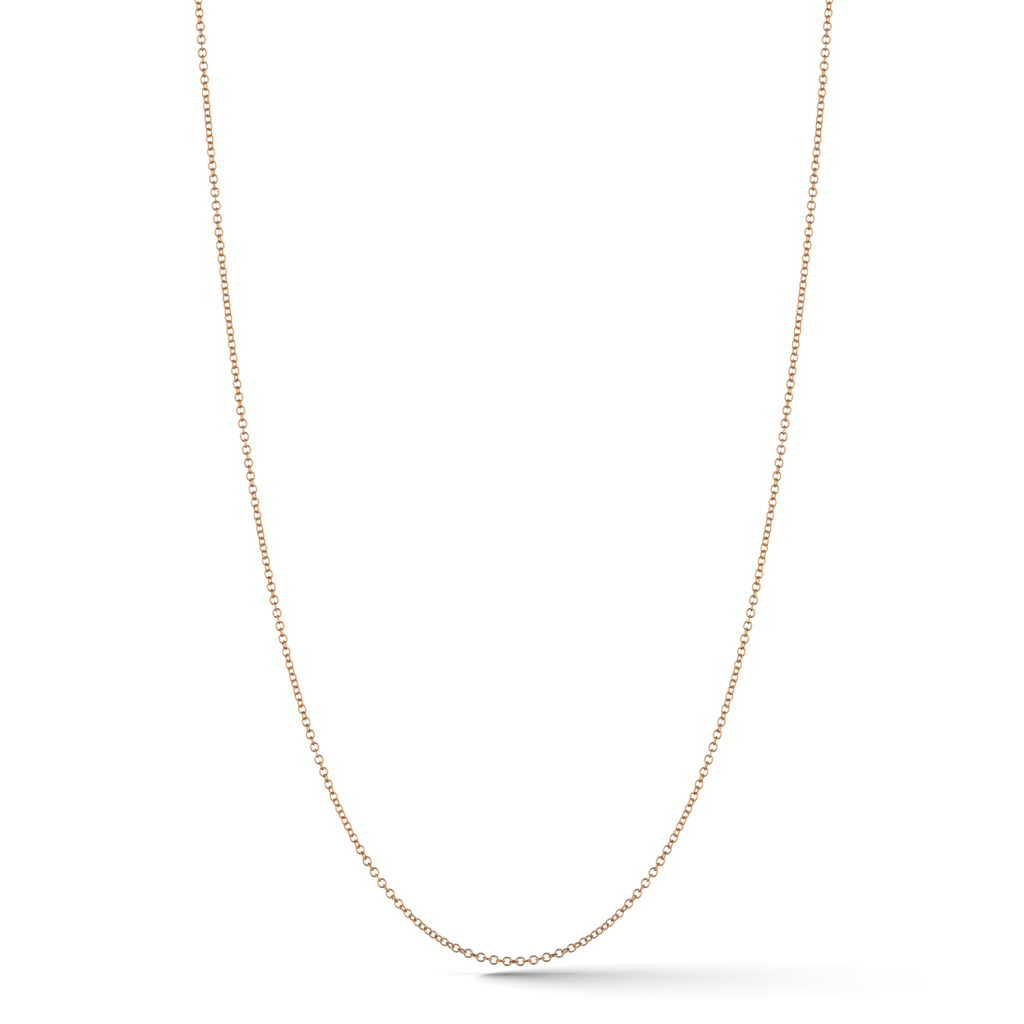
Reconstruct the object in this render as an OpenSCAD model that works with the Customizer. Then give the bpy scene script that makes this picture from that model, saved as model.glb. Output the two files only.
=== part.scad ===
// Fine rolo chain necklace with a spring ring clasp, hanging in its worn shape.
// Millimetres. +Z is up, the front of the necklace faces -Y, and the wearer's right is -X.
// The origin is at the nape, on the line of the chain through the closed clasp.

/* [Link] */
// Thickness of the round wire
wire_d = 0.30; // [0.26:0.01:0.34]
// Outer length of a link
link_len = 1.74; // [1.6:0.01:1.9]
// Outer width of a link
link_w = 1.62; // [1.4:0.01:1.7]
// Clearance between the wires of two linked links
play = 0.02; // [0.01:0.005:0.04]

/* [Drape] */
// Radius of the bend at the lowest point
bend_r = 21.6; // [18:0.1:26]
// Arc length over which the arms gain their last steepness
straighten_len = 292; // [250:1:350]
// Links on each side, from the lowest one up to the start of the shoulder bend
front_links = 176; // [176:1:180]

/* [Collar] */
// Links in the bend over each shoulder
shoulder_links = 18; // [14:1:22]
// Links on each side, from the shoulder to the clasp
nape_links = 73; // [72:1:74]
// Slope of the collar, rising towards the nape
collar_slope = 22; // [10:1:35]

/* [Twist] */
// Turn of the lowest link, past being seen edge-on
first_roll = -19.5; // [-22:0.5:-17]
// Turn from one link to the next, past a right angle
twist = 4.28; // [4.26:0.01:4.3]
// The arms have a stretch, the lull, where the links hardly turn. This much turn is lost there.
missed_turn = 100; // [98:1:102]
// Link at the middle of the lull
lull_link = 106; // [105:1:107]
// Links over which the lull sets in
lull_span = 11; // [10:0.5:12]

/* [Clasp] */
// Outer diameter of the spring ring
ring_d = 5.5; // [5:0.1:6]
// Thickness of its tube
tube_d = 1.1; // [1:0.05:1.2]
// Bore of its tube
tube_bore = 0.74; // [0.7:0.01:0.8]
// Thickness of the sliding bolt
bolt_d = 0.62; // [0.55:0.01:0.66]
// Travel of the bolt round the ring, in degrees
bolt_travel = 42; // [38:1:44]
// Outer diameter of the eyelet
eyelet_d = 2.1; // [1.9:0.05:2.3]
// Wire of the eyelet
eyelet_wire = 0.45; // [0.4:0.01:0.5]
// Wire of the jump ring and the catch ring
jump_wire = 0.5; // [0.45:0.01:0.55]

/* [Hidden] */
$fn = 32;
pitch = link_len - 2 * wire_d - play;
last_link = front_links + shoulder_links + nape_links;

// The lowest link of each part of the necklace, counted from the bottom of the drape.
// Each of these links faces the front, so what hangs from it swings on its end wire.
tier_7 = 0;
tier_6 = 26;
tier_5 = 47;
tier_4 = 68;
tier_3 = 95;
tier_2 = 130;
tier_1 = 153;
collar = 174;
// Where the collar and the long tiers are divided into shorter runs.
tier_7_side = 8;
tier_4_high = 82;
tier_3_high = 113;
collar_2 = 192;
collar_3 = 211;
collar_4 = 230;
collar_5 = 249;

// Path of the chain: the steepness of link n, and the tilt of its plane towards the back.
function drape_angle(n) = atan(n * pitch / bend_r * (1 + n * pitch / straighten_len));
top_angle = drape_angle(front_links);
full_lean = 90 - collar_slope;

function steepness(n) =
    n <= front_links ? drape_angle(n)
    : n <= front_links + shoulder_links ? top_angle
    : top_angle + (180 - top_angle) * (n - front_links - shoulder_links) / nape_links;

function lean(n) = full_lean * min(max((n - front_links) / shoulder_links, 0), 1);

function along(n) = [
    cos(steepness(n)),
    sin(steepness(n)) * sin(lean(n)),
    sin(steepness(n)) * cos(lean(n))
];
function inward(n) = [
    -sin(steepness(n)),
    cos(steepness(n)) * sin(lean(n)),
    cos(steepness(n)) * cos(lean(n))
];
function outward(n) = [0, -cos(lean(n)), sin(lean(n))];

// Where link n meets the one below it, measured from the bottom of the drape.
joints = [
    for (n = 0, p = [-pitch / 2, 0, 0]; n <= last_link + 1; p = p + pitch * along(n), n = n + 1) p
];
nape = joints[last_link + 1];
nape_gap = nape.x;
function place(n) = (joints[n] + joints[n + 1]) / 2 - [0, nape.y, nape.z];

// Roll of link n about the chain: 0 faces the front, 90 is seen edge-on.
function drape_roll(n) =
    first_roll + twist * n - missed_turn / (1 + exp((lull_link - n) / lull_span));
roll_at_front = drape_roll(front_links);
// The last link lies in an upright plane, square to the level ring it holds.
nape_roll = 90 * (2 * round((roll_at_front + twist * (last_link - front_links) + 90) / 180)) - 90
    + collar_slope;
function roll(n) =
    (n % 2 == 0 ? 90 : 0)
    + (n <= front_links ? drape_roll(n)
    : roll_at_front + (nape_roll - (last_link % 2 == 0 ? 90 : 0) - roll_at_front)
        * (n - front_links) / (last_link - front_links));

// Clasp, laid out along the X axis between the two last links.
tube_r = (ring_d - tube_d) / 2;
eyelet_r = (eyelet_d - eyelet_wire) / 2;
eyelet_sink = 0.12;
last_wire = nape_gap - (wire_d + play) / 2;
link_to_jump = (wire_d + jump_wire) / 2 + play;
jump_to_eyelet = (jump_wire + eyelet_wire) / 2 + play;
eyelet_to_tube = (eyelet_wire + tube_d) / 2 - eyelet_sink;
catch_to_tube = (jump_wire + tube_d) / 2 + play;
jump_r = (2 * last_wire + 2 * link_to_jump + jump_to_eyelet + catch_to_tube
    - 2 * eyelet_r - eyelet_to_tube - 2 * tube_r) / 4;
jump_x = -last_wire - link_to_jump + jump_r;
eyelet_x = jump_x + jump_r - jump_to_eyelet + eyelet_r;
ring_x = eyelet_x + eyelet_r + eyelet_to_tube + tube_r;
catch_x = ring_x + tube_r - catch_to_tube + jump_r;

// Angles round the spring ring, from the catch ring's side and downwards.
gap_start = 28;
gap_end = 64;
bolt_tip = 23;
bolt_end = 104;
knob_at = 98;
slot_spare = 5;
spring_start = bolt_end + bolt_travel + 3;
spring_end = 200;
spring_turns = 14;
spring_wire = 0.09;
spring_d = 0.60;
knob_stem_d = 0.30;
knob_d = 0.80;
knob_h = 0.36;
slot_w = 0.38;

// One closed link: its plane is XY and its length is along X.
module link() {
    end_r = (link_w - wire_d) / 2;
    straight = link_len - link_w;
    for (side = [-1, 1]) {
        translate([side * straight / 2, 0, 0])
            rotate([0, 0, -90 * side])
                rotate_extrude(angle = 180)
                    translate([end_r, 0])
                        circle(d = wire_d);
        translate([-straight / 2, side * end_r, 0])
            rotate([0, 90, 0])
                cylinder(d = wire_d, h = straight);
    }
}

// Link n in its place on the wearer's left, which is +X.
module placed_link(n) {
    t = along(n);
    across = inward(n) * cos(roll(n)) + outward(n) * sin(roll(n));
    face = outward(n) * cos(roll(n)) - inward(n) * sin(roll(n));
    p = place(n);
    multmatrix([
        [t.x, across.x, face.x, p.x],
        [t.y, across.y, face.y, p.y],
        [t.z, across.z, face.z, p.z]
    ])
        link();
}

// A run of links, separate solids. The right side is the mirror image of the left.
module run_left(first, last) {
    color("lightsalmon")
        for (n = [first:last])
            placed_link(n);
}

module run_right(first, last) {
    mirror([1, 0, 0])
        run_left(first, last);
}

module middle_run(last) {
    run_left(0, last);
    run_right(1, last);
}

// A torus arc in the ring's plane, from one angle to another, measured like the clasp's.
module ring_arc(r, d, from, to) {
    rotate([90, 0, 0])
        rotate([0, 0, -to])
            rotate_extrude(angle = to - from)
                translate([r, 0])
                    circle(d = d);
}

module level_ring(x) {
    color("lightsalmon")
        translate([x, 0, 0])
            rotate_extrude()
                translate([jump_r, 0])
                    circle(d = jump_wire);
}

module clasp_tube() {
    color("lightsalmon")
        translate([ring_x, 0, 0])
            difference() {
                ring_arc(tube_r, tube_d, gap_end, 360 + gap_start);
                ring_arc(tube_r, tube_bore, gap_end - 1, spring_end);
                ring_arc(tube_r, tube_bore, 360, 361 + gap_start);
                rotate([90, 0, 0])
                    rotate([0, 0, -knob_at - bolt_travel - slot_spare])
                        rotate_extrude(angle = bolt_travel + 2 * slot_spare)
                            translate([tube_r, -slot_w / 2])
                                square([tube_d, slot_w]);
            }
}

module clasp_eyelet() {
    color("lightsalmon")
        difference() {
            translate([eyelet_x, 0, 0])
                rotate([90, 0, 0])
                    rotate_extrude()
                        translate([eyelet_r, 0])
                            circle(d = eyelet_wire);
            translate([ring_x, 0, 0])
                rotate([90, 0, 0])
                    rotate_extrude()
                        translate([tube_r, 0])
                            circle(d = tube_d);
        }
}

module clasp_bolt() {
    color("lightsalmon")
        translate([ring_x, 0, 0]) {
            ring_arc(tube_r, bolt_d, bolt_tip, bolt_end);
            rotate([0, knob_at, 0])
                translate([tube_r, 0, 0])
                    rotate([0, 90, 0]) {
                        cylinder(d = knob_stem_d, h = tube_d / 2 + 0.2);
                        translate([0, 0, tube_d / 2 + 0.1])
                            cylinder(d = knob_d, h = knob_h);
                    }
        }
}

module clasp_spring() {
    color("silver")
        translate([ring_x, 0, 0])
            for (turn = [0:spring_turns - 1])
                rotate([0, spring_start + (spring_end - 2 - spring_start) * turn / (spring_turns - 1), 0])
                    translate([tube_r, 0, 0])
                        rotate_extrude()
                            translate([(spring_d - spring_wire) / 2, 0])
                                circle(d = spring_wire);
}

middle_run(tier_7_side - 1);  // tier_7_middle
run_left(tier_7_side, tier_6 - 1);  // tier_7_left
run_right(tier_7_side, tier_6 - 1);  // tier_7_right
run_left(tier_6, tier_5 - 1);  // tier_6_left
run_right(tier_6, tier_5 - 1);  // tier_6_right
run_left(tier_5, tier_4 - 1);  // tier_5_left
run_right(tier_5, tier_4 - 1);  // tier_5_right
run_left(tier_4, tier_4_high - 1);  // tier_4_left_low
run_left(tier_4_high, tier_3 - 1);  // tier_4_left_high
run_right(tier_4, tier_4_high - 1);  // tier_4_right_low
run_right(tier_4_high, tier_3 - 1);  // tier_4_right_high
run_left(tier_3, tier_3_high - 1);  // tier_3_left_low
run_left(tier_3_high, tier_2 - 1);  // tier_3_left_high
run_right(tier_3, tier_3_high - 1);  // tier_3_right_low
run_right(tier_3_high, tier_2 - 1);  // tier_3_right_high
run_left(tier_2, tier_1 - 1);  // tier_2_left
run_right(tier_2, tier_1 - 1);  // tier_2_right
run_left(tier_1, collar - 1);  // tier_1_left
run_right(tier_1, collar - 1);  // tier_1_right
run_left(collar, collar_2 - 1);  // shoulder_left
run_right(collar, collar_2 - 1);  // shoulder_right
run_left(collar_2, collar_3 - 1);  // collar_left_front
run_right(collar_2, collar_3 - 1);  // collar_right_front
run_left(collar_3, collar_4 - 1);  // collar_left_side
run_right(collar_3, collar_4 - 1);  // collar_right_side
run_left(collar_4, collar_5 - 1);  // collar_left_back
run_right(collar_4, collar_5 - 1);  // collar_right_back
run_left(collar_5, last_link);  // collar_left_end
run_right(collar_5, last_link);  // collar_right_end
level_ring(jump_x);  // jump_ring
level_ring(catch_x);  // catch_ring
clasp_tube();
clasp_eyelet();
clasp_bolt();
clasp_spring();
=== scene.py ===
import math
import random

import bpy
from mathutils import Matrix, Vector


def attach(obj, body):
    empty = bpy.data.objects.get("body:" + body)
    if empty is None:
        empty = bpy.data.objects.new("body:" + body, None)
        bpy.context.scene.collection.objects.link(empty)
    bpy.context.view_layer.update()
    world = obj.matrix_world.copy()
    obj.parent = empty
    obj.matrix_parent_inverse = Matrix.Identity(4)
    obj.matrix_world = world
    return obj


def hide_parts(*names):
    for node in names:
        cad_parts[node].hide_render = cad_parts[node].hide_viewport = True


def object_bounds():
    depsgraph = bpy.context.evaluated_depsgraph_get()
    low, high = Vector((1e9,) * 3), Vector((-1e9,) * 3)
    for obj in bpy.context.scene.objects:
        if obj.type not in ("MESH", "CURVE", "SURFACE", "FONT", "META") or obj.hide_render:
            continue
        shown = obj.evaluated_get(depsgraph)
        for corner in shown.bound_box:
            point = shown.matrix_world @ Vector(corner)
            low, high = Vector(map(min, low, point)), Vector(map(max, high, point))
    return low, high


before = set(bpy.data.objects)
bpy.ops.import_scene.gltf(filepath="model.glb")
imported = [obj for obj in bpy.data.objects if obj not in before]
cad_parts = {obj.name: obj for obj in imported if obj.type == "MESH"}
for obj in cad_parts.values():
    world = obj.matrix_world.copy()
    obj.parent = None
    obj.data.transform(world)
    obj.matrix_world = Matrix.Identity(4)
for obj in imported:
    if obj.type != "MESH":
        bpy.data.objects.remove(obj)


def plainBox(box):
    return [[round(float(value), 6) for value in corner] for corner in box]


cadBox = plainBox(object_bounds())
mm = 0.001
random.seed(7)


def selectOnly(*objects):
    bpy.ops.object.select_all(action="DESELECT")
    for thing in objects:
        thing.select_set(True)
    bpy.context.view_layer.objects.active = objects[0]


# the chain's measures, the same as the frame's

link = {
    "wire": 0.30 * mm,
    "length": 1.74 * mm,
    "width": 1.62 * mm,
    "play": 0.02 * mm,
    "sidesRound": 12,        # faces round the loop
    "sidesWire": 6,          # faces round the wire
    "solderSwell": 1.10,     # how much the soldered joint stands proud
    "contactWear": 0.94,     # wire left where two links rub
    "endReach": 0.1 * mm,    # the ends are the wire further out than this
    "wearReach": 0.4 * mm,   # and the worn wire lies past this
    "solderReach": 0.3 * mm, # the joint is on the flank past this
    "crossShadeStart": 0.45,        # share of the half length where the painted shade begins
    "crossShadeGrowth": 2,
}
drape = {
    "bendRadius": 21.6 * mm,
    "straightenLength": 292 * mm,
    "frontLinks": 176,
    "shoulderLinks": 18,
    "napeLinks": 73,
    "collarSlope": 22,
    "firstRoll": -19.5,
    "twist": 4.28,
    "missedTurn": 100,
    "lullLink": 106,
    "lullSpan": 11,
}
runs = {
    "tier_7_middle": (0, 7), "tier_7": (8, 25), "tier_6": (26, 46), "tier_5": (47, 67),
    "tier_4_low": (68, 81), "tier_4_high": (82, 94), "tier_3_low": (95, 112), "tier_3_high": (113, 129),
    "tier_2": (130, 152), "tier_1": (153, 173), "shoulder": (174, 191), "collar_front": (192, 210),
    "collar_side": (211, 229), "collar_back": (230, 248), "collar_end": (249, 267),
}
pitch = link["length"] - 2 * link["wire"] - link["play"]
lastLink = drape["frontLinks"] + drape["shoulderLinks"] + drape["napeLinks"]


def drapeAngle(n):
    run = n * pitch
    return math.atan(run / drape["bendRadius"] * (1 + run / drape["straightenLength"]))


topAngle = drapeAngle(drape["frontLinks"])


def steepness(n):
    past = n - drape["frontLinks"] - drape["shoulderLinks"]
    if n <= drape["frontLinks"]:
        return drapeAngle(n)
    return topAngle + (math.pi - topAngle) * max(past, 0) / drape["napeLinks"]


def lean(n):
    share = (n - drape["frontLinks"]) / drape["shoulderLinks"]
    return math.radians(90 - drape["collarSlope"]) * min(max(share, 0), 1)


def chainFrame(n):
    # the way the chain runs at link n, then the two directions square to it
    steep, back = steepness(n), lean(n)
    along = Vector((math.cos(steep), math.sin(steep) * math.sin(back), math.sin(steep) * math.cos(back)))
    inward = Vector((-math.sin(steep), math.cos(steep) * math.sin(back), math.cos(steep) * math.cos(back)))
    outward = Vector((0, -math.cos(back), math.sin(back)))
    return along, inward, outward


def drapeRoll(n):
    # the links turn steadily, but for a stretch about the lull link where they hardly turn
    missed = drape["missedTurn"] / (1 + math.exp((drape["lullLink"] - n) / drape["lullSpan"]))
    return drape["firstRoll"] + drape["twist"] * n - missed


frontRoll = drapeRoll(drape["frontLinks"])
endTwist = drape["twist"] * (lastLink - drape["frontLinks"])
endRoll = 90 * (2 * math.floor((frontRoll + endTwist + 90) / 180 + 0.5)) - 90 + drape["collarSlope"]


def linkRoll(n):
    crossed = 0 if n % 2 else 90
    if n <= drape["frontLinks"]:
        return math.radians(crossed + drapeRoll(n))
    share = (n - drape["frontLinks"]) / (lastLink - drape["frontLinks"])
    lastCrossed = 0 if lastLink % 2 else 90
    return math.radians(crossed + frontRoll + (endRoll - lastCrossed - frontRoll) * share)


meetings = [Vector((-pitch / 2, 0, 0))]
for n in range(lastLink + 1):
    meetings.append(meetings[-1] + pitch * chainFrame(n)[0])
nape = meetings[-1]


def linkPlace(n):
    along, inward, outward = chainFrame(n)
    roll = linkRoll(n)
    across = inward * math.cos(roll) + outward * math.sin(roll)
    face = outward * math.cos(roll) - inward * math.sin(roll)
    middle = (meetings[n] + meetings[n + 1]) / 2 - Vector((0, nape.y, nape.z))
    turn = Matrix((along, across, face)).transposed().to_4x4()
    return Matrix.Translation(middle) @ turn


# one link, bent from wire, soldered on one side and worn at both ends, with painted shade on the inside of
# its ends where the next link crosses

def fullness(sides):
    # how far a polygon's corners stand out for it to look as wide as the circle it stands for
    return (math.pi / sides) / math.sin(math.pi / sides)


def makeLink():
    loopRadius = (link["width"] - link["wire"]) / 2
    bpy.ops.object.select_all(action="DESELECT")
    bpy.ops.mesh.primitive_torus_add(
        major_radius=loopRadius * fullness(link["sidesRound"]),
        minor_radius=link["wire"] / 2 * fullness(link["sidesWire"]),
        major_segments=link["sidesRound"], minor_segments=link["sidesWire"])
    ring = bpy.context.object
    ring.name = "oneLink"
    stretch = (link["length"] - link["width"]) / 2
    middle = link["endReach"]
    for side in (-1, 1):
        moveVertices(ring, lambda co: co.x * side > middle, (side * stretch, 0, 0))
    swellVertices(
        ring, lambda co: co.y > link["solderReach"] and abs(co.x) < middle,
        (0, loopRadius, 0), link["solderSwell"])
    for side in (-1, 1):
        end = side * (loopRadius + stretch)
        swellVertices(
            ring, lambda co: co.x * side > link["wearReach"] and abs(co.y) < middle,
            (end, 0, 0), link["contactWear"])
    bpy.ops.object.shade_smooth()
    # painted shade on the inside of the link ends, where the next link crosses
    markCrossShade(ring)
    return ring


def chooseVertices(thing, test):
    selectOnly(thing)
    bpy.ops.object.mode_set(mode="EDIT")
    bpy.ops.mesh.select_mode(type="VERT")
    bpy.ops.mesh.select_all(action="DESELECT")
    bpy.ops.object.mode_set(mode="OBJECT")
    for vertex in thing.data.vertices:
        vertex.select = test(vertex.co)
    bpy.ops.object.mode_set(mode="EDIT")


def moveVertices(thing, test, offset):
    chooseVertices(thing, test)
    bpy.ops.transform.translate(value=offset)
    bpy.ops.object.mode_set(mode="OBJECT")


def swellVertices(thing, test, centre, factor):
    chooseVertices(thing, test)
    bpy.ops.transform.resize(value=(factor, factor, factor), center_override=centre)
    bpy.ops.object.mode_set(mode="OBJECT")


def markCrossShade(ring):
    # painted shade: 1 on the inside of each end, where the next link sits and shade falls, 0 on the flanks
    crossShadeLayer = ring.data.attributes.new("crossShade", "FLOAT", "POINT")
    for vertex in ring.data.vertices:
        reach = abs(vertex.co.x) / (link["length"] / 2)
        inside = 1 - vertex.co.xy.length / (link["width"] / 2)
        crossShaded = (reach - link["crossShadeStart"]) * link["crossShadeGrowth"] + inside
        crossShadeLayer.data[vertex.index].value = max(0, min(1, crossShaded))


def makeRun(name, body, first, last, sides):
    copies = []
    for side in sides:
        for n in range(first, last + 1):
            if side < 0 and n == 0:
                continue
            copy = oneLink.copy()
            copy.data = oneLink.data.copy()
            bpy.context.collection.objects.link(copy)
            flip = Matrix.Rotation(math.pi * random.randint(0, 1), 4, "X")
            turn = Matrix.Rotation(math.pi * random.randint(0, 1), 4, "Z")
            copy.data.transform(linkPlace(n) @ flip @ turn)
            if side < 0:
                copy.data.transform(Matrix.Scale(-1, 4, Vector((1, 0, 0))))
                copy.data.flip_normals()
            copies.append(copy)
    selectOnly(*copies)
    bpy.ops.object.join()
    run = bpy.context.object
    run.name = "links_" + name
    run.data.materials.clear()
    run.data.materials.append(linkGold)
    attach(run, body)
    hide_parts(name)
    return run


def bodyOf(run):
    return run[:6] if run.startswith("tier") else "collar"


finish = {
    "driftScale": 900.0,          # the slow change of tone along the chain
    "scratchScale": 9000.0,       # fine marks left by polishing
    "driftDetail": 1.0,
    "scratchDetail": 3.0,
    "scratchStretch": 0.35,       # the marks are drawn out along one way
    "glossRange": (0.3, 0.7),     # the scratch values between smooth and dull
    "bumpStrength": 0.12,
    "bumpDepth": 0.01 * mm,
    "crossShadeShare": 0.55,             # how much the painted shade deepens the tone
    # painted shade: the tone darkens towards the wire's edges as they turn from the view
    "rimBlend": 0.35,
    "edgeShadeTone": (0.42, 0.30, 0.24, 1),
    "linkPale": (0.87, 0.54, 0.27),
    "linkDeep": (0.74, 0.39, 0.16),
    "claspPale": (0.88, 0.55, 0.29),
    "claspDeep": (0.80, 0.46, 0.22),
    "steelPale": (0.60, 0.60, 0.62),
    "steelDeep": (0.42, 0.42, 0.44),
    "linkGloss": (0.12, 0.26),    # roughness where smooth and where scratched
    "claspGloss": (0.10, 0.22),
    "steelGloss": (0.22, 0.40),
}


def addNode(tree, kind, **values):
    node = tree.nodes.new(kind)
    for key, value in values.items():
        setattr(node, key, value)
    return node


def polishGroup():
    # fine polishing marks and a slow drift of tone, both from the object's own coordinates
    group = bpy.data.node_groups.new("jewelleryPolish", "ShaderNodeTree")
    scales = (("Drift Scale", finish["driftScale"]), ("Scratch Scale", finish["scratchScale"]))
    for name, default in scales:
        socket = group.interface.new_socket(name=name, in_out="INPUT", socket_type="NodeSocketFloat")
        socket.default_value = default
    for name in ("Drift", "Scratches"):
        group.interface.new_socket(name=name, in_out="OUTPUT", socket_type="NodeSocketFloat")
    inputs = addNode(group, "NodeGroupInput")
    outputs = addNode(group, "NodeGroupOutput")
    place = addNode(group, "ShaderNodeTexCoord")
    drift = addNode(group, "ShaderNodeTexNoise")
    drift.inputs["Detail"].default_value = finish["driftDetail"]
    stretch = addNode(group, "ShaderNodeMapping")
    stretch.inputs["Scale"].default_value = (1.0, finish["scratchStretch"], 1.0)
    scratches = addNode(group, "ShaderNodeTexNoise")
    scratches.inputs["Detail"].default_value = finish["scratchDetail"]
    join = group.links.new
    join(place.outputs["Object"], drift.inputs["Vector"])
    join(inputs.outputs["Drift Scale"], drift.inputs["Scale"])
    join(place.outputs["Object"], stretch.inputs["Vector"])
    join(stretch.outputs["Vector"], scratches.inputs["Vector"])
    join(inputs.outputs["Scratch Scale"], scratches.inputs["Scale"])
    join(drift.outputs["Fac"], outputs.inputs["Drift"])
    join(scratches.outputs["Fac"], outputs.inputs["Scratches"])
    return group


def polishedMetal(name, pale, deep, roughness, crossShaded=False):
    material = bpy.data.materials.new(name)
    material.use_nodes = True
    tree = material.node_tree
    shader = tree.nodes["Principled BSDF"]
    shader.inputs["Metallic"].default_value = 1.0
    polish = addNode(tree, "ShaderNodeGroup", node_tree=polishNodes)
    polish.inputs["Drift Scale"].default_value = finish["driftScale"]
    polish.inputs["Scratch Scale"].default_value = finish["scratchScale"]
    tone = addNode(tree, "ShaderNodeMix", data_type="RGBA")
    tone.inputs["A"].default_value = (*pale, 1)
    tone.inputs["B"].default_value = (*deep, 1)
    gloss = addNode(tree, "ShaderNodeMapRange")
    gloss.inputs["From Min"].default_value = finish["glossRange"][0]
    gloss.inputs["From Max"].default_value = finish["glossRange"][1]
    gloss.inputs["To Min"].default_value = roughness[0]
    gloss.inputs["To Max"].default_value = roughness[1]
    bump = addNode(tree, "ShaderNodeBump")
    bump.inputs["Strength"].default_value = finish["bumpStrength"]
    bump.inputs["Distance"].default_value = finish["bumpDepth"]
    join = tree.links.new
    # painted shade: the tone deepens on the inside of the link ends, where links cross
    if crossShaded:
        crossShade = addNode(tree, "ShaderNodeAttribute", attribute_name="crossShade")
        deepen = addNode(tree, "ShaderNodeMath", operation="MULTIPLY_ADD")
        deepen.inputs[1].default_value = finish["crossShadeShare"]
        join(crossShade.outputs["Fac"], deepen.inputs[0])
        join(polish.outputs["Drift"], deepen.inputs[2])
        join(deepen.outputs["Value"], tone.inputs["Factor"])
    else:
        join(polish.outputs["Drift"], tone.inputs["Factor"])
    # painted shade: the colour darkens towards the wire's edges as they turn from the view
    edgeShadeFacing = addNode(tree, "ShaderNodeLayerWeight")
    edgeShadeFacing.inputs["Blend"].default_value = finish["rimBlend"]
    edgeShade = addNode(tree, "ShaderNodeMix", data_type="RGBA", blend_type="MULTIPLY")
    edgeShade.inputs["B"].default_value = finish["edgeShadeTone"]
    join(edgeShadeFacing.outputs["Facing"], edgeShade.inputs["Factor"])
    join(tone.outputs["Result"], edgeShade.inputs["A"])
    join(edgeShade.outputs["Result"], shader.inputs["Base Color"])
    join(polish.outputs["Scratches"], gloss.inputs["Value"])
    join(gloss.outputs["Result"], shader.inputs["Roughness"])
    join(polish.outputs["Scratches"], bump.inputs["Height"])
    join(bump.outputs["Normal"], shader.inputs["Normal"])
    return material


polishNodes = polishGroup()
# the links take the painted shade on the inside of their ends
linkGold = polishedMetal("roseGoldLinks", finish["linkPale"], finish["linkDeep"], finish["linkGloss"], True)
claspGold = polishedMetal("roseGoldClasp", finish["claspPale"], finish["claspDeep"], finish["claspGloss"])
springSteel = polishedMetal("springSteel", finish["steelPale"], finish["steelDeep"], finish["steelGloss"])
print("materials ready")

oneLink = makeLink()
for run, (first, last) in runs.items():
    if run == "tier_7_middle":
        makeRun(run, "tier_7", first, last, (1, -1))
        continue
    for side, word in ((1, "left"), (-1, "right")):
        if run[:4] == "tier":
            name = run[:6] + "_" + word + run[6:]
        elif run == "shoulder":
            name = "shoulder_" + word
        else:
            name = run.replace("collar_", "collar_" + word + "_")
        makeRun(name, bodyOf(run), first, last, (side,))
bpy.data.objects.remove(oneLink)
print("links placed")

for name in ("jump_ring", "catch_ring", "clasp_tube", "clasp_eyelet", "clasp_bolt", "clasp_spring"):
    metal = springSteel if name == "clasp_spring" else claspGold
    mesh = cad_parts[name].data
    for slot in range(len(mesh.materials)):
        mesh.materials[slot] = metal
print("clasp finished")


studio = {
    "floorGap": 1.25 * mm,
    "floorSize": 12.0,
    "cameraDistance": 2.4,
    "cameraHeight": 4.0,       # degrees above level
    "fieldWidth": 172.3 * mm,
    "sensorWidth": 36,         # the camera's own millimetres
    "aimAbove": 76.0 * mm,     # of the lowest link
    "aimSide": -0.3 * mm,
    "floorColor": (0.95, 0.95, 0.95, 1),
    "floorRoughness": 0.9,
}
lowest = linkPlace(0).translation
floorHeight = cadBox[0][2] - studio["floorGap"]


def makeFloor():
    bpy.ops.object.select_all(action="DESELECT")
    bpy.ops.mesh.primitive_plane_add(size=studio["floorSize"], location=(0, 0, floorHeight))
    floor = bpy.context.object
    floor.name = "studioFloor"
    material = bpy.data.materials.new("paleFloor")
    material.use_nodes = True
    shader = material.node_tree.nodes["Principled BSDF"]
    shader.inputs["Base Color"].default_value = studio["floorColor"]
    shader.inputs["Roughness"].default_value = studio["floorRoughness"]
    shader.inputs["Specular IOR Level"].default_value = 0.0
    floor.data.materials.append(material)
    floor.visible_glossy = False


def makeCamera():
    bpy.ops.object.camera_add()
    camera = bpy.context.object
    camera.name = "studioCamera"
    camera.data.sensor_width = studio["sensorWidth"]
    camera.data.lens = studio["sensorWidth"] * studio["cameraDistance"] / studio["fieldWidth"]
    camera.data.clip_start = 0.01
    camera.data.clip_end = 50
    aim = Vector((studio["aimSide"], lowest.y, lowest.z + studio["aimAbove"]))
    rise = math.radians(studio["cameraHeight"])
    away = Vector((0, -math.cos(rise), math.sin(rise))) * studio["cameraDistance"]
    camera.location = aim + away
    camera.rotation_euler = (math.radians(90 - studio["cameraHeight"]), 0, 0)
    bpy.context.scene.camera = camera


tent = {
    "walls": 1.46,         # what the metal mirrors at either side
    "front": 0.50,         # and to the front and back
    "above": 0.05,
    "below": 0.11,
    "floorLight": 0.232,
    "paper": 1.05,
    "wallRamp": (0.25, 0.75),   # how far round to the side the walls brighten
    "poleRamp": (0.50, 0.85),   # how steeply up or down the poles take over
    "tiltRamp": (-0.4, 0.4),    # from what lies below to what lies above
}


def ramp(tree, source, span, low, high):
    node = addNode(tree, "ShaderNodeMapRange", interpolation_type="SMOOTHSTEP")
    node.inputs["From Min"].default_value = span[0]
    node.inputs["From Max"].default_value = span[1]
    node.inputs["To Min"].default_value = low
    node.inputs["To Max"].default_value = high
    tree.links.new(source, node.inputs["Value"])
    return node.outputs["Result"]


def blend(tree, factor, first, second):
    node = addNode(tree, "ShaderNodeMix", data_type="FLOAT")
    for socket, value in (("Factor", factor), ("A", first), ("B", second)):
        if isinstance(value, float):
            node.inputs[socket].default_value = value
        else:
            tree.links.new(value, node.inputs[socket])
    return node.outputs["Result"]


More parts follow.
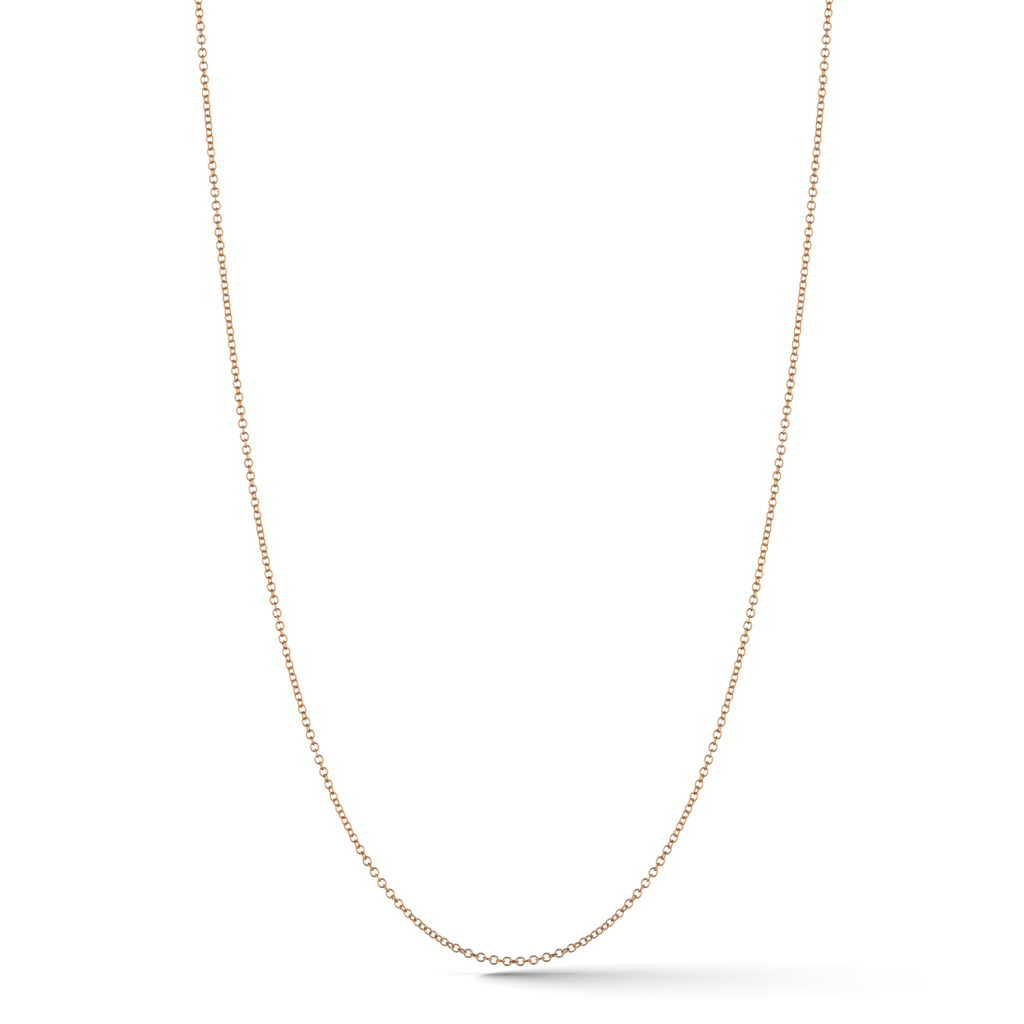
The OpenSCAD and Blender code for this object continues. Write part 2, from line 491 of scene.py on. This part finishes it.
def makeWorld():
    world = bpy.data.worlds.new("studioTent")
    bpy.context.scene.world = world
    world.use_nodes = True
    tree = world.node_tree
    tree.nodes.clear()
    place = addNode(tree, "ShaderNodeTexCoord")
    parts = addNode(tree, "ShaderNodeSeparateXYZ")
    sideways = addNode(tree, "ShaderNodeMath", operation="ABSOLUTE")
    upright = addNode(tree, "ShaderNodeMath", operation="ABSOLUTE")
    ray = addNode(tree, "ShaderNodeLightPath")
    light = addNode(tree, "ShaderNodeBackground")
    light.inputs["Color"].default_value = (1, 1, 1, 1)
    out = addNode(tree, "ShaderNodeOutputWorld")
    join = tree.links.new
    join(place.outputs["Generated"], parts.inputs["Vector"])
    join(parts.outputs["X"], sideways.inputs[0])
    join(parts.outputs["Z"], upright.inputs[0])
    horizon = ramp(tree, sideways.outputs["Value"], tent["wallRamp"], tent["front"], tent["walls"])
    poles = ramp(tree, parts.outputs["Z"], tent["tiltRamp"], tent["below"], tent["above"])
    polar = ramp(tree, upright.outputs["Value"], tent["poleRamp"], 0.0, 1.0)
    mirrored = blend(tree, polar, horizon, poles)
    lit = blend(tree, ray.outputs["Is Glossy Ray"], tent["floorLight"], mirrored)
    seen = blend(tree, ray.outputs["Is Camera Ray"], lit, tent["paper"])
    join(seen, light.inputs["Strength"])
    join(light.outputs["Background"], out.inputs["Surface"])


key = {
    "strength": 3.6,
    "softness": 71,            # degrees the lamp spans
    "height": 50,              # degrees above the floor
    "behind": 14,              # degrees behind the chain's own plane, from the left
    "cardWide": 11.5 * mm,     # half its width
    "cardTall": 31.8 * mm,     # half its height
    "cardTurn": 65,            # degrees off the chain's own plane
    "cardLift": 1.05 * mm,
    "cardSide": -5.3 * mm,
    "cardFront": -0.8 * mm,
}


def makeKey():
    # an unseen card inside the chain's loop throws the soft wedge of shadow, which the chain alone doesn't
    bpy.ops.object.light_add(type="SUN")
    sun = bpy.context.object
    sun.name = "softKey"
    sun.data.energy = key["strength"]
    sun.data.angle = math.radians(key["softness"])
    sun.visible_glossy = False
    rise, turn = math.radians(key["height"]), math.radians(key["behind"])
    towards = Vector((-math.cos(rise) * math.cos(turn), math.cos(rise) * math.sin(turn), math.sin(rise)))
    sun.rotation_euler = towards.to_track_quat("Z", "Y").to_euler()
    bpy.ops.object.select_all(action="DESELECT")
    cardMiddle = floorHeight + key["cardLift"] + key["cardTall"]
    bpy.ops.mesh.primitive_circle_add(
        vertices=48, radius=key["cardWide"], fill_type="NGON",
        rotation=(math.pi / 2, 0, math.radians(key["cardTurn"])),
        location=(key["cardSide"], lowest.y + key["cardFront"], cardMiddle))
    card = bpy.context.object
    card.name = "shadowCard"
    bpy.ops.transform.resize(value=(1, 1, key["cardTall"] / key["cardWide"]))
    bpy.ops.object.transform_apply(location=True, rotation=True, scale=True)
    card.visible_camera = False
    card.visible_glossy = False
    card.visible_diffuse = False


makeFloor()
makeCamera()
makeWorld()
makeKey()
bpy.context.scene.view_settings.view_transform = "Standard"
print("studio ready")
